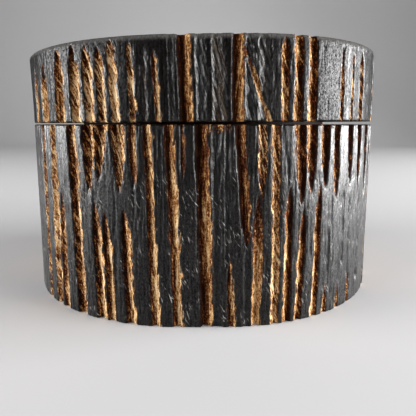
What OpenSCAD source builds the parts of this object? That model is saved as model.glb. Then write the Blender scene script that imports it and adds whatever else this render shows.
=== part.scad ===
// Carved wooden trinket box: a hollowed block, a lid that lifts off, and the ring that keeps the lid in place.
// The plan is two half circles with a short straight between them.
// The origin is at the middle of the foot, +X to the right, +Y to the back, +Z up.

/* [Plan] */
// Radius of the two round ends at the foot
base_r = 56; // [50:0.5:64]
// Straight length between the two round ends
plan_straight = 12.5; // [6:0.5:24]
// Angle by which the outer wall leans inwards
wall_lean = 1.06; // [0.2:0.02:2]

/* [Body] */
// Height of the body, foot to rim
body_h = 56.4; // [48:0.2:70]
// Thickness of the floor
floor_t = 10; // [6:0.5:14]
// Width of the rim, from the outer wall to the mouth
rim_w = 16; // [12:0.5:20]
// Width of the ledge that the ring stands over
ledge_w = 3; // [2:0.25:5]
// Depth of the mouth, from the rim down to the ledge
mouth_depth = 6; // [5:0.25:9]
// Rounding of the outer edge at the foot
foot_round = 0.6; // [0.2:0.1:1]
// Rounding of the rim's outer edge
rim_round = 0.6; // [0.2:0.1:1.2]
// Rounding where the cavity's wall meets its floor
floor_round = 5; // [2:0.5:8]

/* [Lid] */
// Thickness of the lid at its middle
lid_h = 21.8; // [18:0.2:28]
// Angle by which the hand-cut top rises to the right
lid_rise = 0.9; // [0:0.1:1.5]
// Rounding of the top's outer edge
top_round = 2; // [1:0.25:4]
// Depth of the hollow in the underside
hollow_depth = 11; // [6:0.5:13]
// Rounding where the hollow's wall meets its ceiling
hollow_round = 4; // [2:0.5:5]
// Width of the shoulder that the ring is glued against
shoulder_w = 5; // [4:0.25:7]

/* [Ring] */
// Thickness of the ring, inside to outside
ring_w = 4; // [3:0.25:6]
// Depth of the rebate in the lid that holds the ring
ring_let_in = 2.5; // [1.5:0.25:4]
// Bevel that leads the ring into the mouth
ring_bevel = 0.8; // [0.4:0.1:1.5]

/* [Fits] */
// Open seam between rim and lid at the middle of the box
seam_gap = 0.7; // [0.5:0.05:1.2]
// Angle by which the seam opens to the right
seam_slope = 0.28; // [0:0.02:0.3]
// Gap between the ring and the mouth
ring_gap = 0.35; // [0.3:0.05:0.6]
// Gap between the ring and the ledge under it
seat_gap = 0.3; // [0.2:0.05:0.5]
// Thickness of the glue round the ring in its rebate
glue_gap = 0.1; // [0.05:0.05:0.2]

/* [Carving] */
// Depth of a gouge stroke as a share of its width
stroke_depth = 0.36; // [0.25:0.01:0.45]
// Length of a stroke's pointed tip as a share of its width
tip_share = 2; // [1.5:0.1:3]
// Distance along the back between one stroke of a row and the next
back_pitch = 8.5; // [7:0.5:12]
// Width of the narrowest stroke on the back
back_width = 2; // [1.5:0.1:2.5]
// How far a stroke on the back may be wider than the narrowest
back_spread = 1.4; // [0:0.1:2]

/* [Hidden] */
$fn = 96;
lid_z = body_h + seam_gap;
top_z = lid_z + lid_h;
ledge_z = body_h - mouth_depth;
mouth_r = wall_r(body_h) - rim_w;
cavity_r = mouth_r - ledge_w;
ring_r = mouth_r - ring_gap;
ring_z = ledge_z + seat_gap;
ring_top_z = lid_z + ring_let_in;
hollow_r = ring_r - shoulder_w;
mean_r = wall_r(top_z / 2);
half_turn = plan_straight + PI * mean_r;
// Length by which a cutter or a trimming block passes the wood
overrun = 4;
// Room for the lid's slope in the blank that it is cut from
spare = 3;
// Flat steps that ease an edge, and the size up to which one bevel does
edge_steps = 3;
bevel_limit = 1;
dark_wood = "#2b2724";
pale_wood = "#a9743c";

// Strokes on the front, in millimetres along the girth from the front's middle, right positive.
// From the rim down: girth at the rim, drift to the tip, run, width
rim_strokes = [
    [-33, 0.5, 18.5, 3.5], [-28, -1, 15.5, 3.3], [-23, 0.5, 18.5, 3.2], [-19, 0, 17.5, 1.6],
    [-5, 0.3, 14.5, 1.2], [10, 2.5, 34.5, 2.6], [16.5, 0, 20, 1.8], [27, 1.5, 22.5, 3],
    [31, 0.7, 19.5, 3], [36, 1, 18.5, 3], [41, 1, 21.5, 2.6], [47.5, 1.5, 18.5, 2.8],
    [54, 1, 20.5, 3], [61, 1, 23, 3]
];
// From the foot up: girth at the foot, drift to the tip, run, width
foot_strokes = [
    [-45, -0.5, 37, 2.8], [-29.5, -1.5, 35.5, 2.6], [-26, -1.5, 33, 2.2], [-20, -1.5, 34, 2.3],
    [8.5, -1, 20, 2], [15.5, 0, 38, 3], [24.5, 0, 40, 2.4], [28, 1.5, 34, 2.6], [34, 1, 40, 2.6],
    [38.5, 0, 9, 2], [44.5, 0, 9, 1.6], [51, -0.5, 11, 1.6]
];
// Right through, foot to rim: girth at the foot, drift to the rim, width
through_strokes = [
    [-56.5, 0.5, 2.6], [-49.5, 1, 3.2], [-37.5, -2, 3.3], [-12.8, -1.7, 2.2], [-6.5, -2, 2.4],
    [1.5, -1.5, 3.4], [21, -1, 2.5]
];
// On the lid from its underside up: girth at the underside, drift to the tip, run, width
lid_strokes = [
    [-52.5, 0, 17.5, 4], [-43.5, 0, 20.5, 3.8], [-36.2, -0.8, 21.3, 3.4], [-31, -1, 20.5, 2.8],
    [-26.7, -1.3, 19.5, 2.4], [-23, -1, 21.3, 2.3], [-18, -0.5, 20, 1.8], [-10.8, -1, 18, 1.4],
    [17.5, -7, 18.5, 1.4], [22.5, 0, 21.3, 2.4], [42.5, 0, 20, 1.8], [48, 0, 20, 1.8], [54, 0, 20, 3]
];
// Right through the lid: girth at the underside, drift to the top, width
lid_through_strokes = [[-3.7, -0.8, 3.4], [9.5, 0.4, 2.7], [26.5, 0, 3.2], [31, 0, 3]];
// The front's strokes end here to the right and to the left, and the back's begin
front_right = 66;
front_left = -61;
back_count = floor((2 * half_turn + front_left - front_right) / back_pitch);
// Runs of the strokes on the back: least length and how far they vary
back_rim_run = [14, 12];
back_foot_run = [28, 12];
back_lid_run = [17, 4];
// Every so many strokes on the back, one runs right through
through_every = 4;
// Steps of the even scatter, from one stroke to the next and from one row to the next
stroke_step = 0.618;
row_step = 0.37;
// Rows of strokes on the back
rim_row = 0;
foot_row = 1;
lid_row = 3;

function wall_r(z) = base_r - z * tan(wall_lean);
// Even scatter between 0 and 1 for the hand-cut spacing of the back
function scatter(i, row) = (i * stroke_step + row * row_step) % 1;
// Straight-end centre and turn for a place along the girth
function past_end(girth) = girth - plan_straight / 2;
function end_x(girth) =
    abs(girth) < plan_straight / 2 ? girth
    : girth < 0 ? -plan_straight / 2
    : past_end(girth) < PI * mean_r ? plan_straight / 2
    : past_end(girth) < half_turn ? plan_straight / 2 - (past_end(girth) - PI * mean_r)
    : -plan_straight / 2;
function arc_length(girth) =
    abs(girth) < plan_straight / 2 ? 0
    : girth < 0 ? girth + plan_straight / 2
    : past_end(girth) < PI * mean_r ? past_end(girth)
    : past_end(girth) < half_turn ? PI * mean_r
    : past_end(girth) - plan_straight;
function back_girth(i, row) = front_right + (i + 0.25 + 0.5 * scatter(i, row)) * back_pitch;
function back_stroke_width(i, row) = back_width + back_spread * scatter(i, row + 1);
function back_run(i, row, limits) = limits[0] + limits[1] * scatter(i, row + 2);

// Points of an eased edge: a small one is a single bevel, a larger one a few flat steps
function eased_edge(centre, radius, from_angle, to_angle) =
    let (steps = radius > bevel_limit ? edge_steps : 1)
        radius == 0 ? [centre] : [
            for (step = [0 : steps])
                let (angle = from_angle + (to_angle - from_angle) * step / steps)
                    centre + radius * [cos(angle), sin(angle)]
        ];

// Half section of a turned block, with the edges at its foot and its top eased
module half_section(r_low, r_high, height, low_round, high_round) {
    lean = atan((r_low - r_high) / height);
    low_run = low_round / tan((90 - lean) / 2);
    high_run = high_round / tan((90 + lean) / 2);
    polygon([
        [0, 0],
        each eased_edge([r_low - low_run, low_round], low_round, -90, lean),
        each eased_edge([r_high - high_run, height - high_round], high_round, lean, 90),
        [0, height]
    ]);
}

// The half section turned at both ends of the plan and drawn straight between them
module oval_block() {
    for (side = [-1, 1])
        translate([side * plan_straight / 2, 0, 0])
            rotate_extrude()
                children();
    rotate([90, 0, 90])
        linear_extrude(plan_straight, center = true) {
            children();
            mirror([1, 0])
                children();
        }
}

// One gouge stroke from from_z to to_z: it either runs out there in a pointed tip or passes right through
module gouge_stroke(girth, from_z, to_z, drift, width, runs_out) {
    depth = width * stroke_depth;
    gouge_r = width * (0.25 + stroke_depth * stroke_depth) / (2 * stroke_depth);
    tip = runs_out ? tip_share * width : 0;
    past = overrun / abs(to_z - from_z);
    function axis_at(t) = let (z = from_z + (to_z - from_z) * t)
        [drift * t, -(wall_r(z) + gouge_r - depth), z];
    start = axis_at(-past);
    path = axis_at(1 + (runs_out ? 0 : past)) - start;
    shank = norm(path) - tip;
    heading = atan2(path.y, path.x);
    // The line where the round cutter's surface closes on itself faces away from the wood
    closing_turn = path.z > 0 ? -90 - heading : heading - 90;
    translate([end_x(girth), 0, 0])
        rotate([0, 0, arc_length(girth) / mean_r * 180 / PI])
            translate(start)
                rotate([0, acos(path.z / norm(path)), heading])
                    rotate([0, 0, closing_turn]) {
                        cylinder(h = shank, r = gouge_r, $fn = 32);
                        if (runs_out)
                            translate([0, 0, shank])
                                cylinder(h = tip * gouge_r / depth, r1 = gouge_r, r2 = 0, $fn = 32);
                    }
}

module body_carving() {
    for (s = rim_strokes)
        gouge_stroke(s[0], body_h, body_h - s[2], s[1], s[3], true);
    for (s = foot_strokes)
        gouge_stroke(s[0], 0, s[2], s[1], s[3], true);
    for (s = through_strokes)
        gouge_stroke(s[0], 0, body_h, s[1], s[2], false);
    for (i = [0 : back_count - 1]) {
        through = i % through_every == 0;
        rim_run = through ? body_h : back_run(i, rim_row, back_rim_run);
        gouge_stroke(
            back_girth(i, rim_row), body_h, body_h - rim_run, 0, back_stroke_width(i, rim_row), !through
        );
        if (!through)
            gouge_stroke(
                back_girth(i - 0.5, foot_row), 0, back_run(i, foot_row, back_foot_run),
                0, back_stroke_width(i, foot_row), true
            );
    }
}

module lid_carving() {
    for (s = lid_strokes)
        gouge_stroke(s[0], lid_z, lid_z + s[2], s[1], s[3], true);
    for (s = lid_through_strokes)
        gouge_stroke(s[0], lid_z, top_z, s[1], s[2], false);
    for (i = [0 : back_count - 1])
        gouge_stroke(
            back_girth(i, lid_row), lid_z, lid_z + back_run(i, lid_row, back_lid_run),
            0, back_stroke_width(i, lid_row), i % through_every != 1
        );
}

module box_body() {
    color(dark_wood)
        difference() {
            oval_block()
                half_section(base_r, wall_r(body_h), body_h, foot_round, rim_round);
            translate([0, 0, floor_t])
                oval_block()
                    half_section(cavity_r, cavity_r, body_h, floor_round, 0);
            translate([0, 0, ledge_z])
                oval_block()
                    half_section(mouth_r, mouth_r, body_h, 0, 0);
            body_carving();
        }
}

// The lid's blank is carved square and then leans, so that its top rises to the right
module lid_blank() {
    translate([0, 0, lid_z - spare])
        oval_block()
            half_section(wall_r(lid_z - spare), wall_r(top_z), lid_h + spare, 0, top_round);
}

module lid() {
    trim = 2 * (base_r + plan_straight);
    color(dark_wood)
        difference() {
            translate([0, 0, lid_z])
                rotate([0, -lid_rise, 0])
                    translate([0, 0, -lid_z])
                        difference() {
                            lid_blank();
                            lid_carving();
                        }
            translate([0, 0, lid_z])
                rotate([0, -seam_slope, 0])
                    translate([-trim / 2, -trim / 2, -trim])
                        cube(trim);
            translate([0, 0, lid_z - overrun])
                oval_block()
                    half_section(ring_r + glue_gap, ring_r + glue_gap, overrun + ring_let_in, 0, 0);
            translate([0, 0, lid_z - overrun])
                oval_block()
                    half_section(hollow_r, hollow_r, overrun + hollow_depth, 0, hollow_round);
        }
}

module lid_ring() {
    ring_h = ring_top_z - ring_z;
    color(pale_wood)
        translate([0, 0, ring_z])
            difference() {
                oval_block() {
                    polygon([
                        [0, 0], [ring_r - ring_bevel, 0], [ring_r, ring_bevel], [ring_r, ring_h], [0, ring_h]
                    ]);
                }
                translate([0, 0, -overrun])
                    oval_block()
                        half_section(ring_r - ring_w, ring_r - ring_w, ring_h + 2 * overrun, 0, 0);
            }
}

box_body();
lid();
lid_ring();
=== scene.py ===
"""Looks of a carved wooden trinket box: black-stained walls with gouge strokes cut to the brown wood."""

import math
from collections import namedtuple

import bpy
import numpy as np
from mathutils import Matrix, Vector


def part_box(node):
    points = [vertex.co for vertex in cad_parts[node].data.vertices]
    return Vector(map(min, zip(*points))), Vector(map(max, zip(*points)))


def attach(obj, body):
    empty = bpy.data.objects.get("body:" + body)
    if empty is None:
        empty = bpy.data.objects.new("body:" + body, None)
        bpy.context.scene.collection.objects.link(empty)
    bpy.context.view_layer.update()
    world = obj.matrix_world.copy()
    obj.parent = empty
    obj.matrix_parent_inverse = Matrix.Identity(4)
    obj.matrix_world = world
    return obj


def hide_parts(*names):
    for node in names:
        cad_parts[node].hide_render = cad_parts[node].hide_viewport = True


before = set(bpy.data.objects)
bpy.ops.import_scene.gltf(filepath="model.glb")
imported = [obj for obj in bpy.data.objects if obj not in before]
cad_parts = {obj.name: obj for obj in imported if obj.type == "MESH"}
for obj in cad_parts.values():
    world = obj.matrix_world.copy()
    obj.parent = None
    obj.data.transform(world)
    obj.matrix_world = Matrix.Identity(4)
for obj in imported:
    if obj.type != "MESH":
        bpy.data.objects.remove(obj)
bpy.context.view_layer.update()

# Sizes of the box in metres, the same as those of its solids but for the finer rounds of its outer edges
MM = 0.001
BASE_R = 56 * MM
STRAIGHT = 12.5 * MM
WALL_LEAN = math.radians(1.06)
FLOOR_T = 10 * MM
RIM_W = 16 * MM
LEDGE_W = 3 * MM
MOUTH_DEPTH = 6 * MM
FLOOR_ROUND = 5 * MM
LID_H = 21.8 * MM
LID_RISE = math.radians(0.9)
TOP_ROUND = 1.2 * MM
HOLLOW_DEPTH = 11 * MM
HOLLOW_ROUND = 4 * MM
SHOULDER_W = 5 * MM
RING_LET_IN = 2.5 * MM
RING_GAP = 0.35 * MM
GLUE_GAP = 0.1 * MM
SEAM_GAP = 0.7 * MM
SEAM_SLOPE = math.radians(0.28)
# Rounds of worn edges: the outer ones, and the finer ones inside
EDGE_ROUND = 0.5 * MM
INNER_ROUND = 0.4 * MM
# How far in from an edge the carving fades out
FADE = 2.5 * MM

BODY_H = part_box("box_body")[1].z
LID_Z = BODY_H + SEAM_GAP
TOP_Z = LID_Z + LID_H
LEDGE_Z = BODY_H - MOUTH_DEPTH


def wall_r(z):
    """Radius of the round ends at a height."""
    return BASE_R - z * math.tan(WALL_LEAN)


MOUTH_R = wall_r(BODY_H) - RIM_W
CAVITY_R = MOUTH_R - LEDGE_W
RING_R = MOUTH_R - RING_GAP
HOLLOW_R = RING_R - SHOULDER_W
MEAN_R = wall_r(TOP_Z / 2)
GIRTH = 2 * (STRAIGHT + math.pi * MEAN_R)

# Gouge strokes on the front, in millimetres along the girth from the front's middle, right positive
# The last two values of each: how pale the bare wood is, and how torn
# From the rim down: girth at the rim, drift to the tip, run, width
RIM_STROKES = [
    (-33, 0.5, 18.5, 4.2, 0.65, 0.8), (-28, -1, 15.5, 4, 0.65, 0.8), (-23, 0.5, 18.5, 4, 0.65, 0.8),
    (-18.5, 0, 17.5, 2, 0.6, 0.4), (-5, 0.3, 14.5, 1.2, 0.4, 0.3), (10, 2.5, 34.5, 2.6, 0.25, 0.2),
    (16.5, 0, 20, 2.1, 0.4, 1), (27, 1.5, 22.5, 3, 0.35, 0.5), (31, 0.7, 19.5, 3, 0.35, 0.5),
    (36, 1, 18.5, 3, 0.35, 0.5), (41, 1, 21.5, 2.6, 0.35, 0.5), (47.5, 1.5, 18.5, 2.8, 0.3, 0.5),
    (54, 1, 20.5, 3, 0.3, 0.5), (61, 1, 23, 3, 0.3, 0.5),
]
# From the foot up: girth at the foot, drift to the tip, run, width
FOOT_STROKES = [
    (-45, -0.5, 37, 2.6, 0.6, 0.5), (-29.5, -1.5, 35.5, 3, 0.7, 0.5), (-26, -1.5, 33, 2.5, 0.6, 0.5),
    (-20, -1.5, 34, 2.8, 0.6, 0.4), (8.5, -1, 20, 2, 0.4, 0.3), (15.5, 0, 38, 2.6, 0.25, 0.3),
    (24.5, 0, 40, 2.2, 0.35, 0.3), (28, 1.5, 34, 2.2, 0.65, 0.4), (34, 1, 40, 2.2, 0.65, 0.4),
    (38.5, 0, 9, 2, 0.6, 0.5), (44.5, 0, 9, 1.6, 0.5, 0.5), (51, -0.5, 11, 1.6, 0.5, 0.5),
]
# Right through, foot to rim: girth at the foot, drift to the rim, width
THROUGH_STROKES = [
    (-56.5, 0.5, 2.6, 0.3, 0.6), (-49.5, 1, 3, 0.65, 0.6), (-37.5, -2, 3.3, 0.65, 0.6),
    (-12.8, -1.7, 2.3, 0.6, 0.4), (-6.5, -2, 2.6, 0.55, 0.3), (1.5, -1.5, 3.5, 0.25, 0.15),
    (21, -1, 2.1, 0.45, 0.6),
]
# On the lid from its underside up: girth at the underside, drift to the tip, run, width
LID_STROKES = [
    (-60, 0, 16.5, 3, 0.2, 0.5), (-52.5, 0, 17.5, 3.8, 0.3, 0.5), (-43.5, 0, 20.5, 3.8, 0.7, 0.6),
    (-36.2, -0.8, 21.3, 3.4, 0.8, 0.9), (-31, -1, 20.5, 2.8, 0.8, 0.9), (-26.7, -1.3, 19.5, 2.4, 0.75, 0.9),
    (-23, -1, 21.3, 2.3, 0.7, 0.9), (-18, -0.5, 20, 1.8, 0.55, 0.9), (-10.8, -1, 18, 1.4, 0.5, 0.5),
    (19.3, -8.5, 20.5, 1.7, 0.15, 0.3), (22.5, 0, 21.3, 2, 0.25, 0.6), (42.5, 0, 20.5, 1.4, 0.35, 0.8),
    (48, 0, 19, 1.2, 0.3, 0.8), (54, 0, 20.5, 2.4, 0.4, 0.8),
]
# Right through the lid: girth at the underside, drift to the top, width
LID_THROUGH_STROKES = [
    (-3.7, -0.8, 3.2, 0.2, 0.15), (9.5, 0.4, 2.8, 0.2, 0.15), (26.5, 0, 2.4, 0.22, 0.6),
    (31, 0, 2.5, 0.22, 0.6),
]
# Shallow torn strokes that kept most of their stain: girth, lower end, upper end, width, paleness, how torn
BODY_SCORES = [
    (4.3, -4, 60, 3, 0, 0.3), (7, 22, 60, 2, 0, 0.3), (-9.6, 28, 60, 1.6, 0, 0.3),
    (-24.5, 2, 24, 1.6, 0, 0.3), (12.5, -4, 30, 1.8, 0, 0.3), (46, 18, 38, 1.4, 0, 0.3),
    (49.5, 14, 36, 1.4, 0, 0.3), (39, 12, 32, 1.6, 0, 0.3), (57, 10, 34, 1.8, 0, 0.3),
]
LID_SCORES = [
    (0, 53, 83, 2.6, 0, 0.8), (4.5, 53, 83, 2.8, 0.05, 1), (13, 53, 83, 3, 0.02, 1),
    (16.5, 53, 83, 2.6, 0.03, 0.9), (-7.5, 53, 83, 1.6, 0, 0.4), (-14.5, 53, 76, 1.4, 0.05, 0.6),
    (45.5, 60, 83, 1, 0, 0.6),
]

# Strokes on the back, in millimetres: where they begin and end, and how far apart they are
FRONT_RIGHT = 66
FRONT_LEFT = -61
BACK_PITCH = 8.5
BACK_COUNT = int((GIRTH / MM + FRONT_LEFT - FRONT_RIGHT) / BACK_PITCH)
# One in so many runs right through, and those from the foot stand half a pitch aside
THROUGH_EVERY = 4
HALF_PITCH = 0.5
# Least values and what the scatter adds to them: shift in pitches, width, runs, paleness and how torn
BACK_SHIFT = (0.25, 0.5)
BACK_WIDTH = (2, 1.4)
BACK_RIM_RUN = (14, 12)
BACK_FOOT_RUN = (28, 12)
BACK_LID_RUN = (17, 4)
BACK_TONE = (0.35, 0.4)
BACK_TORN = (0.2, 0.8)
# The even scatter: its step from stroke to stroke and from row to row, and the first row of each kind
STROKE_STEP = 0.618
ROW_STEP = 0.37
RIM_ROW, FOOT_ROW, LID_ROW = 0, 1, 3

# A stroke is cut wider than its bare wood, starts outside its edge, and its tip is some widths long
LIP_SHARE = 1.2
OVERRUN = 4
BODY_TIP, LID_TIP, SCORE_TIP = 3.5, 2, 2
NO_TIP = 0.001
# Depth of a stroke, as a share of its full depth
FULL_DEPTH, SCORE_DEPTH = 1, 0.5


def scatter(i, row, limits):
    """A value between its least and its most, by the even scatter of the hand-cut back."""
    least, gain = limits
    return least + gain * ((i * STROKE_STEP + row * ROW_STEP) % 1)


def back_girth(i, row):
    """Girth of one stroke of the back."""
    return FRONT_RIGHT + (i + scatter(i, row, BACK_SHIFT)) * BACK_PITCH


def back_cut(i, row, run_limits):
    """Run, width and finish of one stroke of the back, each from its own row of the scatter."""
    width = scatter(i, row + 1, BACK_WIDTH)
    run = scatter(i, row + 2, run_limits)
    finish = (scatter(i, row + 3, BACK_TONE), scatter(i, row + 4, BACK_TORN))
    return run, width, finish


def stroke(girth, from_z, to_z, drift, width, finish, tip_share, depth=FULL_DEPTH):
    """One stroke in metres: its place (girth, start, end), shape (drift, width, tip) and finish."""
    way = math.copysign(OVERRUN, to_z - from_z)
    start = from_z - way
    end = to_z if tip_share else to_z + way
    tip = tip_share * width or NO_TIP
    place = (girth * MM, start * MM, end * MM)
    shape = (drift * MM, width * LIP_SHARE * MM, tip * MM)
    return place, shape, (*finish, depth)


def score(girth, from_z, to_z, width, *finish):
    """One shallow torn stroke."""
    return stroke(girth, from_z, to_z, 0, width, finish, SCORE_TIP, SCORE_DEPTH)


def body_strokes():
    """Every stroke of the body: the front's as listed, then the back's."""
    rim = BODY_H / MM
    rows = [score(*values) for values in BODY_SCORES]
    rows += [stroke(g, rim, rim - run, d, w, finish, BODY_TIP) for g, d, run, w, *finish in RIM_STROKES]
    rows += [stroke(g, 0, run, d, w, finish, BODY_TIP) for g, d, run, w, *finish in FOOT_STROKES]
    rows += [stroke(g, 0, rim, d, w, finish, 0) for g, d, w, *finish in THROUGH_STROKES]
    for i in range(BACK_COUNT):
        run, width, finish = back_cut(i, RIM_ROW, BACK_RIM_RUN)
        if i % THROUGH_EVERY == 0:
            rows.append(stroke(back_girth(i, RIM_ROW), rim, 0, 0, width, finish, 0))
            continue
        rows.append(stroke(back_girth(i, RIM_ROW), rim, rim - run, 0, width, finish, BODY_TIP))
        run, width, finish = back_cut(i, FOOT_ROW, BACK_FOOT_RUN)
        rows.append(stroke(back_girth(i - HALF_PITCH, FOOT_ROW), 0, run, 0, width, finish, BODY_TIP))
    return rows


def lid_strokes():
    """Every stroke of the lid, in the same order."""
    low, top = LID_Z / MM, TOP_Z / MM
    rows = [score(*values) for values in LID_SCORES]
    rows += [stroke(g, low, low + run, d, w, finish, LID_TIP) for g, d, run, w, *finish in LID_STROKES]
    rows += [stroke(g, low, top, d, w, finish, 0) for g, d, w, *finish in LID_THROUGH_STROKES]
    for i in range(BACK_COUNT):
        run, width, finish = back_cut(i, LID_ROW, BACK_LID_RUN)
        tip_share = 0 if i % THROUGH_EVERY == 1 else LID_TIP
        rows.append(stroke(back_girth(i, LID_ROW), low, low + run, 0, width, finish, tip_share))
    return rows


# Blanks: rings of points round the plan, one for each step of a half section
# A step has its radius, height and count of columns, and how far it is carved and stained
Step = namedtuple("Step", "r z columns carve stain")
Columns = namedtuple("Columns", "girth centre_x outward")
FINE, COARSE = 1200, 300
WALL_ROWS, LID_ROWS, CAVITY_ROWS = 64, 38, 12
EDGE_STEPS, TOP_STEPS, HOLLOW_STEPS = 3, 5, 6


def outer(points):
    """Steps of the carved and stained outside."""
    return [Step(r, z, FINE, 1, 1) for r, z in points]


def inner(points):
    """Steps of the plain inside."""
    return [Step(r, z, COARSE, 0, 0) for r, z in points]


def arc(r, z, radius, start, end, steps):
    """Points of a rounded edge in the half section, by angle in degrees from outwards to up."""
    angles = np.radians(np.linspace(start, end, steps + 1))
    return [(r + radius * math.cos(a), z + radius * math.sin(a)) for a in angles]


def wall(low, high, rows):
    """Points up the leaning wall."""
    return [(wall_r(z), z) for z in np.linspace(low, high, rows)]


def body_section():
    """From under the foot up the wall, over the rim, past the ledge and down to the floor."""
    foot_r, rim_r = BASE_R - EDGE_ROUND, wall_r(BODY_H) - EDGE_ROUND
    floor_r = CAVITY_R - FLOOR_ROUND
    cavity_heights = np.linspace(LEDGE_Z - FADE, FLOOR_T + FLOOR_ROUND, CAVITY_ROWS)
    section = [Step(foot_r - 2 * FADE, 0, COARSE, 0, 1), Step(foot_r - FADE, 0, FINE, 0, 1)]
    section += outer(arc(foot_r, EDGE_ROUND, EDGE_ROUND, -90, -20, EDGE_STEPS))
    section += outer(wall(EDGE_ROUND, BODY_H - EDGE_ROUND, WALL_ROWS))
    section += outer(arc(rim_r, BODY_H - EDGE_ROUND, EDGE_ROUND, 20, 90, EDGE_STEPS))
    section += [Step(rim_r - FADE, BODY_H, FINE, 0, 1)]
    section += inner([(MOUTH_R + FADE, BODY_H)])
    section += inner(arc(MOUTH_R + INNER_ROUND, BODY_H - INNER_ROUND, INNER_ROUND, 90, 180, EDGE_STEPS))
    section += inner([(MOUTH_R, LEDGE_Z + INNER_ROUND), (MOUTH_R - INNER_ROUND, LEDGE_Z)])
    section += inner(arc(CAVITY_R + INNER_ROUND, LEDGE_Z - INNER_ROUND, INNER_ROUND, 90, 180, EDGE_STEPS))
    section += inner([(CAVITY_R, z) for z in cavity_heights])
    section += inner(arc(floor_r, FLOOR_T + FLOOR_ROUND, FLOOR_ROUND, -12, -90, HOLLOW_STEPS))
    section += inner([(floor_r - FADE, FLOOR_T)])
    return section


def lid_section():
    """From the hollow's ceiling down past the ring's rebate, up the wall and over the top."""
    ceiling, rebate_z = LID_Z + HOLLOW_DEPTH, LID_Z + RING_LET_IN
    ceiling_r, rebate_r = HOLLOW_R - HOLLOW_ROUND, RING_R + GLUE_GAP
    low_r, top_r = wall_r(LID_Z) - EDGE_ROUND, wall_r(TOP_Z) - TOP_ROUND
    section = inner([(ceiling_r - FADE, ceiling)])
    section += inner(arc(ceiling_r, ceiling - HOLLOW_ROUND, HOLLOW_ROUND, 90, 0, HOLLOW_STEPS))
    section += inner([(HOLLOW_R, rebate_z + INNER_ROUND), (HOLLOW_R + INNER_ROUND, rebate_z)])
    section += inner([(rebate_r - INNER_ROUND, rebate_z), (rebate_r, rebate_z - INNER_ROUND)])
    section += inner([(rebate_r, LID_Z + INNER_ROUND), (rebate_r + INNER_ROUND, LID_Z)])
    section += [Step(low_r - FADE, LID_Z, FINE, 0, 1)]
    section += outer(arc(low_r, LID_Z + EDGE_ROUND, EDGE_ROUND, -90, -20, EDGE_STEPS))
    section += outer(wall(LID_Z + EDGE_ROUND, TOP_Z - TOP_ROUND, LID_ROWS))
    section += outer(arc(top_r, TOP_Z - TOP_ROUND, TOP_ROUND, 15, 90, TOP_STEPS))
    section += [Step(top_r - FADE, TOP_Z, FINE, 0, 1), Step(top_r - 2 * FADE, TOP_Z, COARSE, 0, 1)]
    return section


def stations(count):
    """Place along the girth, centre line x and outward direction of each column, from the back's middle."""
    girth = (np.arange(count) / count - 0.5) * GIRTH
    half, arc_length = STRAIGHT / 2, math.pi * MEAN_R
    past = np.abs(girth) - half
    side = np.sign(girth)
    behind = side * (half + arc_length - past)
    round_or_behind = np.where(past < arc_length, half * side, behind)
    centre_x = np.where(past < 0, girth, round_or_behind)
    turn = side * np.clip(past, 0, arc_length) / MEAN_R
    outward = np.stack([np.sin(turn), -np.cos(turn), np.zeros(count)], 1)
    return Columns(girth, centre_x, outward)


def upright_ring(step):
    """A ring of the body, at its own radius and height."""
    columns = stations(step.columns)
    level = np.stack([columns.centre_x, np.zeros(step.columns), np.full(step.columns, step.z)], 1)
    return level + columns.outward * step.r


def leaning_ring(step):
    """A ring of the lid: the outside leans with the hand-cut top, and the underside follows the seam."""
    ring = upright_ring(step)
    seam = ring + np.outer(ring[:, 0] * math.tan(SEAM_SLOPE), (0, 0, 1))
    if not step.stain:
        return ring if step.z > LID_Z else seam
    rise = step.z - LID_Z
    leaning = ring.copy()
    leaning[:, 0] = ring[:, 0] * math.cos(LID_RISE) - rise * math.sin(LID_RISE)
    leaning[:, 2] = LID_Z + ring[:, 0] * math.sin(LID_RISE) + rise * math.cos(LID_RISE)
    share = rise / LID_H
    return seam * (1 - share) + leaning * share


def band(low, low_columns, high, high_columns):
    """Faces between two rings, where one may have several columns to each of the other's."""
    count = min(low_columns, high_columns)
    low_span, high_span = low_columns // count, high_columns // count
    faces = []
    for i in range(count):
        along = [low + (i * low_span + j) % low_columns for j in range(low_span + 1)]
        back = [high + (i * high_span + j) % high_columns for j in range(high_span, -1, -1)]
        faces.append(along + back)
    return faces


def blank_mesh(name, section, ring_of):
    """A closed blank from the steps of a half section, capped at both ends."""
    starts = np.cumsum([0] + [step.columns for step in section]).tolist()
    faces = [list(range(section[0].columns))[::-1]]
    for i in range(len(section) - 1):
        faces += band(starts[i], section[i].columns, starts[i + 1], section[i + 1].columns)
    faces.append(list(range(starts[-2], starts[-1])))
    points = np.concatenate([ring_of(step) for step in section])
    mesh = bpy.data.meshes.new(name)
    mesh.from_pydata(points.tolist(), [], faces)
    mesh.shade_smooth()
    columns = [stations(step.columns) for step in section]
    values = {
        "girth": np.concatenate([each.girth for each in columns]),
        "height": np.concatenate([np.full(step.columns, step.z) for step in section]),
        "carve": np.concatenate([np.full(step.columns, step.carve) for step in section]),
        "stain": np.concatenate([np.full(step.columns, step.stain) for step in section]),
    }
    for key in ("cut", "tone", "torn", "flank", "ending"):
        values[key] = np.zeros(starts[-1])
    for key, data in values.items():
        mesh.attributes.new(key, "FLOAT", "POINT").data.foreach_set("value", data.astype(np.float32))
    directions = np.concatenate([each.outward for each in columns]).astype(np.float32)
    mesh.attributes.new("outward", "FLOAT_VECTOR", "POINT").data.foreach_set("vector", directions.ravel())
    piece = bpy.data.objects.new(name, mesh)
    bpy.context.scene.collection.objects.link(piece)
    return piece


# Node trees: helpers that the carving and the materials share
# A pattern along the grain has its cells for each metre across and along it, its detail and its roughness
Pattern = namedtuple("Pattern", "across along detail roughness", defaults=(2.0, 0.5))
NOISE_MIDDLE = 0.5


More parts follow.
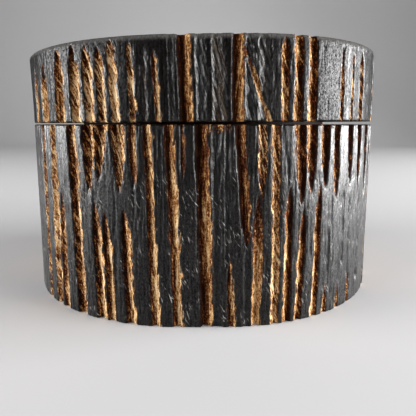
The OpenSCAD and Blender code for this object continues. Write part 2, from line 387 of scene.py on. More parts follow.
def feed(tree, node, index, value):
    """Links a socket to one input of a node, or sets a constant there."""
    if isinstance(value, bpy.types.NodeSocket):
        tree.links.new(value, node.inputs[index])
    else:
        node.inputs[index].default_value = value


def add(tree, kind, inputs=(), **settings):
    """A node with its settings, and its inputs by place or by name."""
    node = tree.nodes.new(kind)
    for key, value in settings.items():
        setattr(node, key, value)
    for index, value in (inputs.items() if isinstance(inputs, dict) else enumerate(inputs)):
        feed(tree, node, index, value)
    return node


class Sums:
    """Short names for the sums that both kinds of tree use."""

    def __init__(self, tree):
        self.tree = tree

    def math(self, operation, *values, clamp=False):
        return add(self.tree, "ShaderNodeMath", values, operation=operation, use_clamp=clamp).outputs[0]

    def plus(self, first, second):
        return self.math("ADD", first, second)

    def minus(self, first, second):
        return self.math("SUBTRACT", first, second)

    def times(self, first, second):
        return self.math("MULTIPLY", first, second)

    def times_plus(self, first, second, third):
        return self.math("MULTIPLY_ADD", first, second, third)

    def rest(self, share):
        """What a share leaves of the whole."""
        return self.minus(1.0, share)

    def between(self, low, high, share):
        return self.times_plus(self.minus(high, low), share, low)

    def step(self, low, high, value):
        """Smooth step of a value, from 0 at one limit to 1 at the other."""
        node = add(self.tree, "ShaderNodeMapRange", (value, low, high), interpolation_type="SMOOTHSTEP")
        return node.outputs[0]

    def slanted(self, place, slant):
        """A place turned about the upright axis in step with its height, so that a pattern on it leans."""
        height = add(self.tree, "ShaderNodeSeparateXYZ", (place,)).outputs[2]
        inputs = {"Vector": place, "Angle": self.times(height, slant)}
        return add(self.tree, "ShaderNodeVectorRotate", inputs, rotation_type="Z_AXIS").outputs[0]

    def grain(self, place, pattern):
        """Noise stretched along the upright grain."""
        cells = (pattern.across, pattern.across, pattern.along)
        scaled = add(self.tree, "ShaderNodeVectorMath", (place, cells), operation="MULTIPLY").outputs[0]
        inputs = {"Vector": scaled, "Scale": 1.0, "Detail": pattern.detail, "Roughness": pattern.roughness}
        return add(self.tree, "ShaderNodeTexNoise", inputs).outputs[0]

    def centred(self, noise):
        """Noise about zero."""
        return self.minus(noise, NOISE_MIDDLE)


# Carving: a tree that cuts a list of strokes into a blank
CARVING_INPUTS = [
    ("Strokes", "NodeSocketObject"),
    ("Stroke Count", "NodeSocketInt"),
    ("Girth", "NodeSocketFloat"),
    ("Depth Share", "NodeSocketFloat"),
    ("Wander", "NodeSocketFloat"),
    ("Tool Tilt", "NodeSocketFloat"),
    ("Ragged Edge", "NodeSocketFloat"),
    ("Torn Fibre", "NodeSocketFloat"),
    ("Fibre Slant", "NodeSocketFloat"),
    ("Grain Ridge", "NodeSocketFloat"),
    ("Swell", "NodeSocketFloat"),
    ("Seed", "NodeSocketVector"),
    ("Finish", "NodeSocketMaterial"),
]
# Patterns of the strokes, how they sway, broaden, fray and tear, and of the flats between them
SWAY = Pattern(70.0, 40.0)
BREADTH = Pattern(130.0, 70.0, 1.0)
FRAY = Pattern(1500.0, 420.0, 2.0, 0.6)
FIBRE = Pattern(1000.0, 100.0, 2.0, 0.6)
RIDGE = Pattern(800.0, 45.0, 3.0, 0.6)
CRACK = Pattern(420.0, 30.0, 2.0, 0.6)
SWELL = Pattern(90.0, 35.0)
# Torn fibres lean by this much for each unit of height
FIBRE_SLANT = 0.32
# The narrowest share of a stroke's width, and what its breadth adds
LEAST_BREADTH, BREADTH_GAIN = 0.82, 0.36
# Half width of a crack on its pattern, its depth in ridges, and the level of the swell that stays put
CRACK_HALF, CRACK_DEPTH = 0.03, 0.7
SWELL_LEVEL = 0.3
# The tool tilts one way up to a girth, the other way past the next, and not at all at the far left
LEFT_TILT, LEFT_TILT_TO = 1.0, 12 * MM
RIGHT_TILT, RIGHT_TILT_FROM = -0.85, 23 * MM
TILT_SETS_IN = (-56 * MM, -38 * MM)
# Across a stroke, in half widths: where the wall is whole, and where the stroke is at its deepest
BOWL = (1.15, 0.05)
# How the depth fades along a tip, the share of a stroke that is its end, and how much more that frays
TIP_POWER = 0.6
END_SHARE = 0.42
END_FRAY = 1.2
# Keeps a tip's width off zero
LEAST_WIDTH = 1e-6
# Depths of a cut between which torn fibres set in, how much clean wood shows of them, and torn wood adds
FIBRE_DEPTH = (0.06 * MM, 0.3 * MM)
CLEAN_FIBRE, TORN_FIBRE = 0.15, 0.85


class CarvingTree:
    """Cuts each stroke of a list into a blank, and keeps the cut's depth and finish as attributes."""

    def __init__(self):
        self.tree = bpy.data.node_groups.new("gouge_carving", "GeometryNodeTree")
        self.sums = Sums(self.tree)
        face = self.tree.interface
        face.new_socket("Blank", in_out="INPUT", socket_type="NodeSocketGeometry")
        for name, kind in CARVING_INPUTS:
            face.new_socket(name, in_out="INPUT", socket_type=kind)
        face.new_socket("Carved", in_out="OUTPUT", socket_type="NodeSocketGeometry")
        self.given = self.tree.nodes.new("NodeGroupInput").outputs
        self.position = self.tree.nodes.new("GeometryNodeInputPosition").outputs[0]
        spread = self.spread(self.given["Blank"])
        carved = self.cut_strokes(spread)
        self.finish(self.push_in(carved))

    def named(self, name, kind="FLOAT"):
        """A value kept on the points."""
        node = add(self.tree, "GeometryNodeInputNamedAttribute", {"Name": name}, data_type=kind)
        return node.outputs["Attribute"]

    def store(self, geometry, name, value):
        """Keeps a value on the points."""
        inputs = {"Geometry": geometry, "Name": name, "Value": value}
        settings = {"data_type": "FLOAT", "domain": "POINT"}
        return add(self.tree, "GeometryNodeStoreNamedAttribute", inputs, **settings).outputs["Geometry"]

    def spread(self, geometry):
        """Keeps the patterns that every stroke reads."""
        sums, given = self.sums, self.given
        seeded = (self.position, given["Seed"])
        place = add(self.tree, "ShaderNodeVectorMath", seeded, operation="ADD").outputs[0]
        leaning = sums.slanted(self.position, given["Fibre Slant"])
        off_crack = sums.math("ABSOLUTE", sums.centred(sums.grain(place, CRACK)))
        crack = sums.step(CRACK_HALF, 0.0, off_crack)
        patterns = {
            "sway": sums.centred(sums.grain(place, SWAY)),
            "breadth": sums.times_plus(sums.grain(place, BREADTH), BREADTH_GAIN, LEAST_BREADTH),
            "fray": sums.centred(sums.grain(place, FRAY)),
            "fibre": sums.grain(leaning, FIBRE),
            "ridge": sums.times_plus(crack, CRACK_DEPTH, sums.centred(sums.grain(place, RIDGE))),
            "swell": sums.minus(sums.grain(place, SWELL), SWELL_LEVEL),
        }
        for name, value in patterns.items():
            geometry = self.store(geometry, name, value)
        return geometry

    def of_stroke(self, strokes, turn, value):
        """The three values that one stroke of the list holds."""
        inputs = {"Geometry": strokes, "Value": value, "Index": turn}
        settings = {"data_type": "FLOAT_VECTOR", "domain": "POINT"}
        node = add(self.tree, "GeometryNodeSampleIndex", inputs, **settings)
        return add(self.tree, "ShaderNodeSeparateXYZ", (node.outputs["Value"],)).outputs

    def cut_strokes(self, geometry):
        """Goes through the strokes and keeps the deepest cut at each point, with that stroke's finish."""
        tree, given = self.tree, self.given
        strokes = add(tree, "GeometryNodeObjectInfo", {"Object": given["Strokes"]}).outputs["Geometry"]
        begin = tree.nodes.new("GeometryNodeRepeatInput")
        end = tree.nodes.new("GeometryNodeRepeatOutput")
        begin.pair_with_output(end)
        feed(tree, begin, "Iterations", given["Stroke Count"])
        feed(tree, begin, "Geometry", geometry)
        carved = self.cut_one(begin.outputs["Geometry"], strokes, begin.outputs["Iteration"])
        feed(tree, end, "Geometry", carved)
        return end.outputs["Geometry"]

    def cut_one(self, geometry, strokes, turn):
        """Cuts one stroke where it goes deeper than those before it."""
        sums, given = self.sums, self.given
        at, start, stop = self.of_stroke(strokes, turn, self.position)
        drift, width, tip = self.of_stroke(strokes, turn, self.named("shape", "FLOAT_VECTOR"))
        tone, torn, share = self.of_stroke(strokes, turn, self.named("finish", "FLOAT_VECTOR"))
        along, taper, ending = self.along_stroke(start, stop, tip)
        centre = sums.times_plus(self.named("sway"), given["Wander"], sums.times_plus(drift, along, at))
        half_width = sums.times(sums.times(width, 0.5), sums.math("SQRT", taper))
        half_width = sums.times_plus(half_width, self.named("breadth"), LEAST_WIDTH)
        tilts = (at, RIGHT_TILT_FROM, LEFT_TILT_TO, RIGHT_TILT, LEFT_TILT)
        turned = add(self.tree, "ShaderNodeMapRange", tilts).outputs[0]
        turned = sums.times(turned, sums.step(*TILT_SETS_IN, at))
        side = self.across_stroke(centre, half_width, turned)

        hairy = sums.times_plus(sums.centred(self.named("fibre")), torn, self.named("fray"))
        hairy = sums.times(hairy, sums.times_plus(ending, END_FRAY, 1.0))
        across = sums.times_plus(hairy, given["Ragged Edge"], sums.math("ABSOLUTE", side))
        begun = sums.math("GREATER_THAN", along, 0.0)
        full = sums.times(sums.times(width, share), given["Depth Share"])
        fade = sums.times(sums.math("POWER", taper, TIP_POWER), begun)
        deep = sums.times(sums.times(full, sums.step(*BOWL, across)), fade)
        flank = sums.times(side, sums.math("SIGN", turned))
        flank = sums.rest(sums.times(sums.rest(flank), sums.math("ABSOLUTE", turned)))

        newer = sums.math("GREATER_THAN", deep, self.named("cut"))
        finish = {"tone": tone, "torn": torn, "flank": flank, "ending": ending}
        for name, value in finish.items():
            geometry = self.store(geometry, name, sums.between(self.named(name), value, newer))
        return self.store(geometry, "cut", sums.math("MAXIMUM", self.named("cut"), deep))

    def along_stroke(self, start, stop, tip):
        """How far along a stroke a point is, what the tip leaves of its width, and how near its end is."""
        sums = self.sums
        run = sums.minus(stop, start)
        along = sums.math("DIVIDE", sums.minus(self.named("height"), start), run)
        left = sums.times(sums.rest(along), sums.math("ABSOLUTE", run))
        taper = sums.math("DIVIDE", left, tip, clamp=True)
        runs_out = sums.math("GREATER_THAN", tip, 2 * NO_TIP * MM)
        ending = sums.times(sums.step(1.0 - END_SHARE, 1.0, along), runs_out)
        return along, taper, ending

    def across_stroke(self, centre, half_width, turned):
        """Place across a stroke, from 0 where the tilted tool goes deepest to 1 either way at its edges."""
        sums, given = self.sums, self.given
        half_girth = sums.times(given["Girth"], 0.5)
        aside = sums.minus(self.named("girth"), centre)
        aside = sums.math("WRAP", aside, half_girth, sums.times(half_girth, -1.0))
        tilt = sums.times(turned, given["Tool Tilt"])
        from_deepest = sums.plus(sums.math("DIVIDE", aside, half_width), tilt)
        reach = sums.times_plus(tilt, sums.math("SIGN", from_deepest), 1.0)
        return sums.math("DIVIDE", from_deepest, reach)

    def push_in(self, geometry):
        """Moves the wall in by the cut, its torn fibres, the ridges of the grain and the flats' swell."""
        sums, given = self.sums, self.given
        geometry = self.store(geometry, "cut", sums.times(self.named("cut"), self.named("carve")))
        cut = self.named("cut")
        inside = sums.step(*FIBRE_DEPTH, cut)
        rough = sums.times_plus(self.named("torn"), TORN_FIBRE, CLEAN_FIBRE)
        fibre = sums.times(sums.times(sums.centred(self.named("fibre")), given["Torn Fibre"]), rough)
        depth = sums.times_plus(fibre, inside, cut)
        depth = sums.times_plus(self.named("ridge"), given["Grain Ridge"], depth)
        depth = sums.times_plus(self.named("swell"), given["Swell"], depth)
        depth = sums.times(depth, self.named("carve"))
        inputs = {"Vector": self.named("outward", "FLOAT_VECTOR"), "Scale": sums.times(depth, -1.0)}
        inward = add(self.tree, "ShaderNodeVectorMath", inputs, operation="SCALE").outputs[0]
        moved = add(self.tree, "GeometryNodeSetPosition", {"Geometry": geometry, "Offset": inward})
        return moved.outputs[0]

    def finish(self, geometry):
        """Gives the carved blank its material."""
        tree = self.tree
        real = add(tree, "GeometryNodeRealizeInstances", (geometry,)).outputs[0]
        inputs = {"Geometry": real, "Material": self.given["Finish"]}
        finish = add(tree, "GeometryNodeSetMaterial", inputs)
        tree.links.new(finish.outputs[0], tree.nodes.new("NodeGroupOutput").inputs[0])


def stroke_points(name, rows):
    """The stroke list as loose points that the carving tree reads."""
    places, shapes, finishes = (np.array(values, np.float32) for values in zip(*rows))
    mesh = bpy.data.meshes.new(name)
    mesh.from_pydata(places.tolist(), [], [])
    for key, values in (("shape", shapes), ("finish", finishes)):
        mesh.attributes.new(key, "FLOAT_VECTOR", "POINT").data.foreach_set("vector", values.ravel())
    points = bpy.data.objects.new(name, mesh)
    bpy.context.scene.collection.objects.link(points)
    return points


def carve(blank, rows, tree, values):
    """Runs the carving tree on a blank and leaves a plain mesh."""
    points = stroke_points(blank.name + "_strokes", rows)
    modifier = blank.modifiers.new("carving", "NODES")
    modifier.node_group = tree
    settings = {"Strokes": points, "Stroke Count": len(rows), "Girth": GIRTH, **values}
    for item in tree.interface.items_tree:
        if item.in_out == "INPUT" and item.name in settings:
            modifier[item.identifier] = settings[item.name]
    depsgraph = bpy.context.evaluated_depsgraph_get()
    evaluated = blank.evaluated_get(depsgraph)
    plain = bpy.data.meshes.new_from_object(evaluated, preserve_all_data_layers=True, depsgraph=depsgraph)
    blank.modifiers.remove(modifier)
    blank.data = plain
    bpy.data.objects.remove(points)


# Materials: colours of bare wood by its paleness, of the stain by its grain, of scratches and worn edges,
# the grey of the lid's top edge partly a painted highlight
WOOD_STOPS = [
    (0.1, (0.012, 0.004, 0.002)),
    (0.4, (0.095, 0.024, 0.007)),
    (0.58, (0.24, 0.108, 0.034)),
    (0.75, (0.46, 0.265, 0.105)),
    (1.0, (0.57, 0.42, 0.25)),
]
BLACK_STOPS = [(0.3, (0.001, 0.0009, 0.0009)), (0.75, (0.006, 0.005, 0.0045))]
SCRATCH = (0.22, 0.21, 0.2)
# Grey of the lid's top edge: wear, and partly a painted highlight of light from above
WORN_SHEEN = (0.11, 0.106, 0.1)
# Patterns of the wood and of its stain
FINE_GRAIN = Pattern(1900.0, 160.0, 4.0, 0.65)
STREAK = Pattern(500.0, 16.0)
BROKEN = Pattern(1000.0, 240.0, 3.0, 0.6)
SPECKLE = Pattern(2000.0, 1500.0, 3.0, 0.75)
HAIR = Pattern(1800.0, 130.0, 3.0, 0.65)
PATCH = Pattern(90.0, 28.0)
RIM_CHIP = Pattern(350.0, 350.0)
SCUFF = Pattern(1900.0, 320.0, 1.0)
SCUFF_PATCH = Pattern(130.0, 90.0)
RING_STREAK = Pattern(300.0, 12.0)
# What each cause adds to the paleness of bare wood, and in pairs: on clean wood, and more when torn
BASE_LEVEL = -0.03
PATCH_LIFT = 0.75
STREAK_LIFT = 0.4
TONE_LIFT = 0.5
STRAND_LIFT = (1.8, 3.4)
SPECKLE_LIFT = (1.4, 1.0)
GAP_LIFT = -0.68
# Painted shade: how much the shaded flank of a stroke darkens bare wood
SHADE_LIFT = (-0.75, 0.58)
TORN_LIFT = 0.04
UPPER_LIFT = -0.2
ENDING_LIFT = -0.4
CHIP_LIFT = 0.5
# Share of the carved fibres in a torn strand, and the dark gaps between its hairs
FIBRE_SHARE = 0.45
HAIR_GAP = (0.06, 0.01)
# The flank of a stroke that the tilted tool leaves in shade, which torn wood turns a little to the light;
# this shade is also painted into the bare wood's colour and shine
SHADED = (0.75, -0.25)
TORN_SHADED = 0.5
# Limits in metres: the upper body, the chip at the front by girth, and what lies near the rim or the top
UPPER_BODY = (22 * MM, 52 * MM)
CHIP_LEFT, CHIP_RIGHT = (1.5 * MM, 3 * MM), (8.5 * MM, 7 * MM)
CHIP_BELOW_RIM = (2.6 * MM, 1.2 * MM)
WORN_BELOW_RIM = (1.4 * MM, 0.6 * MM)
WORN_SHEEN_BELOW_TOP = (1.8 * MM, 0.4 * MM)
FLAT_BELOW_TOP = (0.5 * MM, 0.1 * MM)
# Levels of their patterns between which the front's chip and the other chips of the rim show
CHIP_SPECKS = (0.42, 0.55)
RIM_CHIPPED = (0.6, 0.68)
# Where a stroke has lost its stain: by paleness, by depth with a ragged edge, and off its shaded flank,
# where the black left is painted shade
# The depth at which it is all gone is a pair too, on clean wood and more when torn
BARE_TONE = (0.02, 0.2)
RAGGED_DEPTH = 0.9 * MM
BARE_FROM = 0.05 * MM
BARE_DEPTH = (0.45 * MM, -0.2 * MM)
RAGGED_FLANK, TORN_FLANK = 1.2, 0.2
BARE_FLANK = (-0.85, -0.25)
# Short scratches: how they lean, the levels at which they and their patches show, and how high they go
SCUFF_SLANTS = (0.25, 0.7)
SCUFF_SHARE = (0.62, 0.76)
SCUFF_PATCH_SHARE = (0.48, 0.62)
SCUFF_HEIGHT = (52 * MM, 36 * MM)
# Paleness of the plain wood inside, and how the stain ends there
PLAIN_STREAK, PLAIN_GRAIN = 0.35, 0.5
STAIN_EDGE = (0.3, 0.9)
# What glints, in pairs for the lid and what the body adds: share of grain among specks, least and most
GLINT_GRAIN = (0.15, 0.15)
GLINT_LEAST = (0.34, -0.06)
GLINT_MOST = (0.72, 0.08)
GLINT_HAIR = 0.7
# Shaded bare wood is dull, painted shade on its shine
DULL_DEPTH = (0.05 * MM, 0.4 * MM)
DULL_SHADE = -0.85
# Shine of the stain on the lid, what the body adds, and what rubbing adds at its sides, less at the left
LID_GLOSS, BODY_GLOSS, RUBBED_GLOSS = 0.175, 0.38, 0.66
RUBBED_LEFT = -0.6
RUBBED_GIRTH = (15 * MM, 45 * MM)
# What each cause adds to the shine, as a share of it
UPPER_GLOSS, TOP_GLOSS, BARE_GLOSS, STRAND_GLOSS = -0.2, -0.8, -0.7, 3.2
# Roughness of the satin stain, with what its broken patches add, and of bare wood
SATIN, SATIN_BROKEN, MATT = 0.24, 0.25, 0.75
# Relief too fine for the mesh
HAIR_RELIEF, SPECKLE_RELIEF = 4.0, 0.8
RELIEF_STRENGTH, RELIEF_DEPTH = 0.22, 0.3 * MM
# The ring's wood: paleness, kept low as painted shade in the seam, roughness, shine and relief
RING_STREAK_LIFT, RING_GRAIN_LIFT = 0.16, 0.1
RING_ROUGH, RING_ROUGH_GRAIN = 0.5, 0.2
RING_GLOSS = 0.2
RING_RELIEF_STRENGTH, RING_RELIEF_DEPTH = 0.3, 0.1 * MM
# Sockets of the node that mixes two colours, by place
MIX_SHARE, MIX_LOW, MIX_HIGH, MIX_RESULT = 0, 6, 7, 2


def below(edge, depths):
    """Two heights below an edge."""
    return [edge - depth for depth in depths]


class Finish:
    """A material, with its shader and what its tree is built from."""

    def __init__(self, name):
        self.material = bpy.data.materials.new(name)
        self.material.use_nodes = True
        self.tree = self.material.node_tree
        self.shader = next(node for node in self.tree.nodes if node.type == "BSDF_PRINCIPLED")
        self.sums = Sums(self.tree)

    def give(self, socket, value):
        """Links or sets one of the shader's own sockets."""
        feed(self.tree, self.shader, socket, value)

    def own_place(self):
        return add(self.tree, "ShaderNodeTexCoord").outputs["Object"]

    def attribute(self, name):
        return add(self.tree, "ShaderNodeAttribute", attribute_name=name).outputs["Fac"]

    def ramp(self, value, stops):
        """Colours by value, from stops of place and colour."""
        node = add(self.tree, "ShaderNodeValToRGB", (value,))
        elements = node.color_ramp.elements
        while len(elements) < len(stops):
            elements.new(0.5)
        for element, (place, colour) in zip(elements, stops):
            element.position = place
            element.color = (*colour, 1)
        return node.outputs[0]

    def mix(self, share, low, high):
        """Two colours mixed by a share of the second."""
        inputs = {MIX_SHARE: share, MIX_LOW: low, MIX_HIGH: high}
        return add(self.tree, "ShaderNodeMix", inputs, data_type="RGBA").outputs[MIX_RESULT]

    def bump(self, height, strength, distance):
        """Relief in the shading alone."""
        inputs = {"Strength": strength, "Distance": distance, "Height": height}
        self.give("Normal", add(self.tree, "ShaderNodeBump", inputs).outputs[0])


class StainedWood(Finish):
    """Black satin stain where the wall is whole, brown wood in the strokes, plain wood inside."""

    def __init__(self):
        super().__init__("stained_carved_wood")
        sums = self.sums
        self.place = self.own_place()
        self.girth, self.height, self.stain = map(self.attribute, ("girth", "height", "stain"))
        self.cut, self.tone, self.torn, self.flank = map(self.attribute, ("cut", "tone", "torn", "flank"))
        self.fine = sums.grain(self.place, FINE_GRAIN)
        self.streak = sums.grain(self.place, STREAK)
        self.broken = sums.grain(self.place, BROKEN)
        self.speckle = sums.grain(self.place, SPECKLE)
        self.hair = sums.grain(self.unrolled(FIBRE_SLANT, 0.0), HAIR)
        self.on_body = sums.step(LID_Z, LID_Z - SEAM_GAP, self.height)
        self.upper = sums.times(sums.step(*UPPER_BODY, self.height), self.on_body)
        self.flat_top = sums.step(*below(TOP_Z, FLAT_BELOW_TOP), self.height)
        # Painted shade: the flank that the tilted tool turns from the light
        self.shade = sums.step(*SHADED, sums.times_plus(self.torn, TORN_SHADED, self.flank))
        self.bared = sums.step(*BARE_TONE, self.tone)
        self.chip = self.front_chip()
        self.opened = self.bare_wood()
        self.colour()
        self.gloss()
        self.roughness()

    def unrolled(self, lean, dip):
        """The wall laid flat, as girth that leans with the height and height that dips with the girth."""
        across = self.sums.times_plus(self.height, lean, self.girth)
        along = self.sums.times_plus(self.girth, dip, self.height)
        return add(self.tree, "ShaderNodeCombineXYZ", (across, 0.0, along)).outputs[0]

    def when_torn(self, clean, gain):
        """A value on clean wood, with what tearing adds."""
        return self.sums.times_plus(self.torn, gain, clean)

    def by_piece(self, lid, gain):
        """A value on the lid, with what the body adds."""
        return self.sums.times_plus(self.on_body, gain, lid)

    def front_chip(self):
        """The chip in the rim at the front."""
        sums = self.sums
        along = sums.times(sums.step(*CHIP_LEFT, self.girth), sums.step(*CHIP_RIGHT, self.girth))
        chip = sums.times(along, sums.step(*below(BODY_H, CHIP_BELOW_RIM), self.height))
        return sums.times(sums.times(chip, self.on_body), sums.step(*CHIP_SPECKS, self.speckle))

    def bare_wood(self):
        """Where the stain is gone: in the strokes, off their shaded flanks, where the black left is painted
        shade, and in the chips of the rim.
        """
        sums = self.sums
        ragged = sums.centred(self.broken)
        edge = sums.times_plus(ragged, RAGGED_DEPTH, self.cut)
        opened = sums.times(sums.step(BARE_FROM, self.when_torn(*BARE_DEPTH), edge), self.bared)
        # Black kept on the shaded flank is painted shade
        facing = self.when_torn(sums.times_plus(ragged, RAGGED_FLANK, self.flank), TORN_FLANK)
        opened = sums.times(opened, sums.step(*BARE_FLANK, facing))
        near_rim = sums.times(sums.step(*below(BODY_H, WORN_BELOW_RIM), self.height), self.on_body)
        chipped = sums.times(sums.step(*RIM_CHIPPED, sums.grain(self.place, RIM_CHIP)), near_rim)
        return sums.math("MAXIMUM", sums.math("MAXIMUM", opened, chipped), self.chip)

    def paleness(self):
        """How pale bare wood is: its tone, grain and fibres, and what darkens it, with painted shade on a
        stroke's shaded flank.
        """
        sums, torn = self.sums, self.torn
        torn_strand = sums.between(self.hair, sums.rest(self.attribute("fibre")), FIBRE_SHARE)
        strand = sums.centred(sums.between(self.fine, torn_strand, torn))
        gap = sums.step(*HAIR_GAP, sums.math("ABSOLUTE", sums.centred(self.hair)))
        causes = [
            (sums.grain(self.place, PATCH), PATCH_LIFT),
            (self.streak, STREAK_LIFT),
            (self.tone, TONE_LIFT),
            (strand, self.when_torn(*STRAND_LIFT)),
            (sums.centred(self.speckle), self.when_torn(*SPECKLE_LIFT)),
            (sums.times(gap, torn), GAP_LIFT),
            # painted shade on the shaded flank
            (self.shade, self.when_torn(*SHADE_LIFT)),
            (torn, TORN_LIFT),
            (self.upper, UPPER_LIFT),
            (self.attribute("ending"), ENDING_LIFT),
            (self.chip, CHIP_LIFT),
        ]
        level = BASE_LEVEL
        for share, lift in causes:
            level = sums.times_plus(share, lift, level)
        return level

    def scuff(self, slant):
        """Short scratches that lean by the slant."""
        return self.sums.step(*SCUFF_SHARE, self.sums.grain(self.unrolled(slant, -slant), SCUFF))

    def scratches(self):
        """Scratches of two slants, in patches on the body's lower flats."""
        sums = self.sums
        scuffed = sums.math("MAXIMUM", *map(self.scuff, SCUFF_SLANTS))
        where = sums.step(*SCUFF_PATCH_SHARE, sums.grain(self.place, SCUFF_PATCH))
        low_down = sums.step(*SCUFF_HEIGHT, self.height)
        return sums.times(sums.times(scuffed, sums.rest(self.opened)), sums.times(where, low_down))

    def colour(self):
        """Stain, bare wood, scratches and worn edges outside, plain wood inside; the lid's grey top edge is
        wear and partly a painted highlight.
        """
        sums = self.sums
        brown = self.ramp(self.paleness(), WOOD_STOPS)
        # The lid's top edge turns grey: wear, and partly a painted highlight of light from above
        worn_sheen = sums.times(sums.step(*below(TOP_Z, WORN_SHEEN_BELOW_TOP), self.height), self.speckle)
        black = self.mix(worn_sheen, self.ramp(self.fine, BLACK_STOPS), (*WORN_SHEEN, 1))
        outside = self.mix(self.scratches(), self.mix(self.opened, black, brown), (*SCRATCH, 1))
        plain = sums.times_plus(self.streak, PLAIN_STREAK, sums.times(self.fine, PLAIN_GRAIN))
        inside = self.ramp(plain, WOOD_STOPS)
        self.give("Base Color", self.mix(sums.step(*STAIN_EDGE, self.stain), inside, outside))

    def gloss(self):
        """Shine of the stain: specks and hairs that glint, more where hands have rubbed the body, duller on
        shaded flanks as painted shade.
        """
        sums, torn = self.sums, self.torn
        glint = sums.between(self.speckle, self.fine, self.by_piece(*GLINT_GRAIN))
        glint = sums.between(glint, self.hair, sums.times(torn, GLINT_HAIR))
        sheen = sums.step(self.by_piece(*GLINT_LEAST), self.by_piece(*GLINT_MOST), glint)
        # Painted shade: bare wood's shaded flank loses its shine
        in_stroke = sums.times(sums.step(*DULL_DEPTH, self.cut), self.bared)
        dull = sums.times(in_stroke, sums.times(self.shade, DULL_SHADE))
        sheen = sums.times_plus(sheen, dull, sheen)
        to_side = sums.math("MAXIMUM", self.girth, sums.times(self.girth, RUBBED_LEFT))
        rubbed = sums.step(*RUBBED_GIRTH, to_side)
        gloss = self.by_piece(LID_GLOSS, sums.times_plus(rubbed, RUBBED_GLOSS, BODY_GLOSS))
        lid_strands = sums.times(sums.times(torn, sums.rest(self.opened)), sums.rest(self.on_body))
        causes = [
            (self.upper, UPPER_GLOSS),
            (self.flat_top, TOP_GLOSS),
            (self.opened, BARE_GLOSS),
            (lid_strands, STRAND_GLOSS),
        ]
        for share, change in causes:
            gloss = sums.times(gloss, sums.times_plus(share, change, 1.0))
        self.give("Specular IOR Level", sums.times(sheen, gloss))

    def roughness(self):
        """Satin stain, matt bare wood and lid top, and the relief of hairs, specks and grain."""
        sums = self.sums
        satin = sums.times_plus(self.broken, SATIN_BROKEN, SATIN)
        bare = sums.math("MAXIMUM", self.opened, sums.rest(self.stain))
        self.give("Roughness", sums.between(satin, MATT, sums.math("MAXIMUM", bare, self.flat_top)))
        relief = sums.times_plus(self.speckle, SPECKLE_RELIEF, self.fine)
        relief = sums.times_plus(sums.times(self.hair, self.torn), HAIR_RELIEF, relief)
        self.bump(relief, RELIEF_STRENGTH, RELIEF_DEPTH)


def dark_sanded_wood():
    """Sanded wood of the ring, its dark colour painted shade where the seam shows it under the lid."""
    wood = Finish("dark_sanded_wood")
    sums = wood.sums
    place = wood.own_place()
    fine = sums.grain(place, FINE_GRAIN)
    streak = sums.grain(place, RING_STREAK)
    level = sums.times_plus(streak, RING_STREAK_LIFT, sums.times(fine, RING_GRAIN_LIFT))
    wood.give("Base Color", wood.ramp(level, WOOD_STOPS))
    wood.give("Roughness", sums.times_plus(fine, RING_ROUGH_GRAIN, RING_ROUGH))
    wood.give("Specular IOR Level", RING_GLOSS)
    wood.bump(fine, RING_RELIEF_STRENGTH, RING_RELIEF_DEPTH)
    return wood.material


# The pieces: the lid's grain is shallower, and each piece has its own seed
carving = CarvingTree().tree
CUTTING = {
    "Depth Share": 0.42,
    "Wander": 1.2 * MM,
    "Tool Tilt": 0.4,
    "Ragged Edge": 1.0,
    "Torn Fibre": 2.2 * MM,
    "Fibre Slant": FIBRE_SLANT / MEAN_R,
    "Grain Ridge": 0.35 * MM,
    "Swell": 0.3 * MM,
    "Finish": StainedWood().material,
}
LID_RIDGE = 0.2 * MM
BODY_SEED, LID_SEED = (0.0, 0.0, 0.0), (0.3, 0.1, 0.2)

carved_body = blank_mesh("carved_body", body_section(), upright_ring)
carve(carved_body, body_strokes(), carving, {**CUTTING, "Seed": BODY_SEED})
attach(carved_body, "body")
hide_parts("box_body")

carved_lid = blank_mesh("carved_lid", lid_section(), leaning_ring)
carve(carved_lid, lid_strokes(), carving, {**CUTTING, "Grain Ridge": LID_RIDGE, "Seed": LID_SEED})
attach(carved_lid, "lid")
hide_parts("lid")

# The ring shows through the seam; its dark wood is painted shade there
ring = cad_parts["lid_ring"]
ring.data.materials.clear()
ring.data.materials.append(dark_sanded_wood())

# Stage: a pale sweep, soft lamps and a dim world, in metres and watts
PAPER = (0.5, 0.495, 0.5)
PAPER_ROUGH = 0.9
SWEEP_FRONT, SWEEP_BACK, SWEEP_HALF = -2.0, 0.9, 3.0
SWEEP_R, SWEEP_TOP = 0.6, 2.0
SWEEP_STEPS = 16
WORLD_COLOUR = (0.9, 0.9, 0.92)
WORLD_STRENGTH = 0.09
LAMP_SPREAD = math.radians(125)
BOX_MIDDLE = (0, 0, 0.04)
BACKDROP = (0, 1.5, 0.6)
# Each lamp: its name, place, aim, size across and up, and power
LAMPS = [
    ("left_window", (-0.96, -0.16, 0.18), BOX_MIDDLE, (0.58, 0.32), 9.6),
    ("left_front_window", (-0.77, -0.61, 0.29), BOX_MIDDLE, (0.42, 0.48), 2.2),
    ("right_window", (0.99, -0.1, 0.18), BOX_MIDDLE, (0.86, 0.32), 20.5),
    ("right_front_window", (0.85, -0.54, 0.22), BOX_MIDDLE, (0.32, 0.32), 2.6),
    ("top_panel", (0, -0.8, 0.88), BOX_MIDDLE, (1.6, 0.56), 0.5),
    ("backdrop_light", (0, 1.0, 1.6), BACKDROP, (1.6, 0.4), 5.0),
]


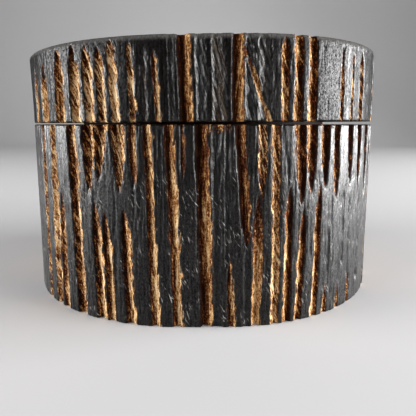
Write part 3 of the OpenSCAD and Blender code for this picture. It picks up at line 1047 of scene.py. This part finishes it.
def sweep():
    """Floor and backdrop in one curved sheet."""
    curve = [
        (SWEEP_BACK + SWEEP_R * math.sin(a), SWEEP_R * (1 - math.cos(a)))
        for a in np.linspace(0, math.pi / 2, SWEEP_STEPS + 1)
    ]
    line = [(SWEEP_FRONT, 0.0), *curve, (SWEEP_BACK + SWEEP_R, SWEEP_TOP)]
    points = [(x, y, z) for y, z in line for x in (-SWEEP_HALF, SWEEP_HALF)]
    faces = [(2 * i, 2 * i + 1, 2 * i + 3, 2 * i + 2) for i in range(len(line) - 1)]
    mesh = bpy.data.meshes.new("studio_sweep")
    mesh.from_pydata(points, [], faces)
    mesh.shade_smooth()
    sheet = bpy.data.objects.new("studio_sweep", mesh)
    bpy.context.scene.collection.objects.link(sheet)
    paper = Finish("studio_paper")
    paper.give("Base Color", (*PAPER, 1))
    paper.give("Roughness", PAPER_ROUGH)
    mesh.materials.append(paper.material)


def soft_light(name, place, aim, size, power):
    """A soft rectangle of light that the camera doesn't see."""
    lamp = bpy.data.lights.new(name, "AREA")
    lamp.shape = "RECTANGLE"
    lamp.size, lamp.size_y = size
    lamp.energy = power
    lamp.spread = LAMP_SPREAD
    light = bpy.data.objects.new(name, lamp)
    bpy.context.scene.collection.objects.link(light)
    light.location = place
    x, y, z = np.array(aim) - np.array(place)
    light.rotation_euler = (math.atan2(math.hypot(x, y), -z), 0, math.atan2(-x, y))
    light.visible_camera = False


sweep()
for values in LAMPS:
    soft_light(*values)

world = bpy.data.worlds.new("studio")
bpy.context.scene.world = world
world.use_nodes = True
backing = next(node for node in world.node_tree.nodes if node.type == "BACKGROUND")
backing.inputs["Color"].default_value = (*WORLD_COLOUR, 1)
backing.inputs["Strength"].default_value = WORLD_STRENGTH

# Camera: lens, tilt and place are worked out from the photograph
IMAGE_PX = 416
LENS_PX = 412
HORIZON_ROW = 123.5
SENSOR_W = 36
CAMERA_PLACE = (1.75 * MM, -163.4 * MM, 56.7 * MM)
NEAREST = 0.01
camera = bpy.data.objects.new("camera", bpy.data.cameras.new("camera"))
bpy.context.scene.collection.objects.link(camera)
camera.data.sensor_width = SENSOR_W
camera.data.lens = LENS_PX / IMAGE_PX * SENSOR_W
camera.data.clip_start = NEAREST
camera.location = CAMERA_PLACE
tilt = math.atan((IMAGE_PX / 2 - HORIZON_ROW) / LENS_PX)
camera.rotation_euler = (math.pi / 2 - tilt, 0, 0)
bpy.context.scene.camera = camera
bpy.context.scene.view_settings.view_transform = "Standard"
